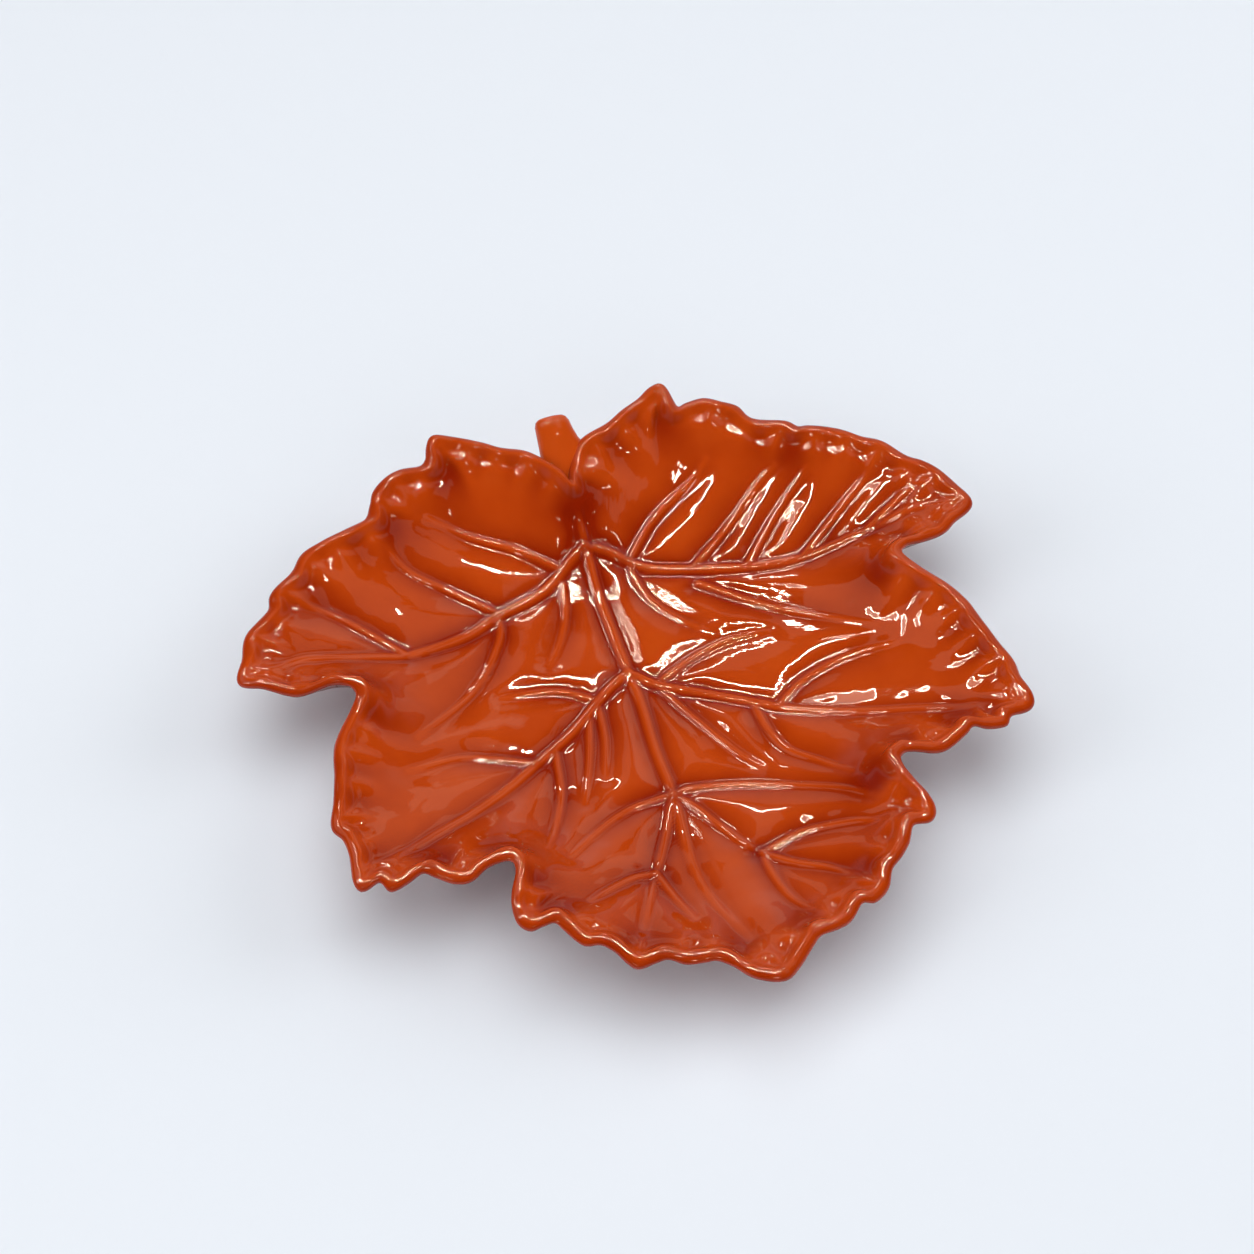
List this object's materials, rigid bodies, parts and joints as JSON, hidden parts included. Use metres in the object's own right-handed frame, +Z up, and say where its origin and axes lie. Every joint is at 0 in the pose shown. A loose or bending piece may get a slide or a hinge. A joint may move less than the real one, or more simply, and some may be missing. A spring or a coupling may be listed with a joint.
{
  "type": "leaf-shaped tray",
  "caption": "Shallow serving dish moulded as a vine leaf, with a beaded toothed rim, raised veins, a blunt stalk at the back and a low foot ring.",
  "frame": {"origin": "under the middle of the dish's bounding box, on the plane of the foot ring's standing face", "axes": "+Z up; -Y toward the leaf's tip; +Y toward the stalk; +X to the right as seen from the tip"},
  "size_m": [0.2402, 0.2248, 0.0375],
  "materials": {
    "leaf_glaze": "glossy red-orange glaze, thinner and brighter on the rim and vein crests, deeper red in the hollows",
    "stem_glaze": "the same glossy red-orange glaze",
    "foot_clay": "glaze wiped off the standing edge, bare matt buff clay"
  },
  "bodies": {
    "root": {"leaf_dish": "leaf_glaze", "stem_handle": "stem_glaze", "foot_ring": "foot_clay"}
  },
  "joints": []
}
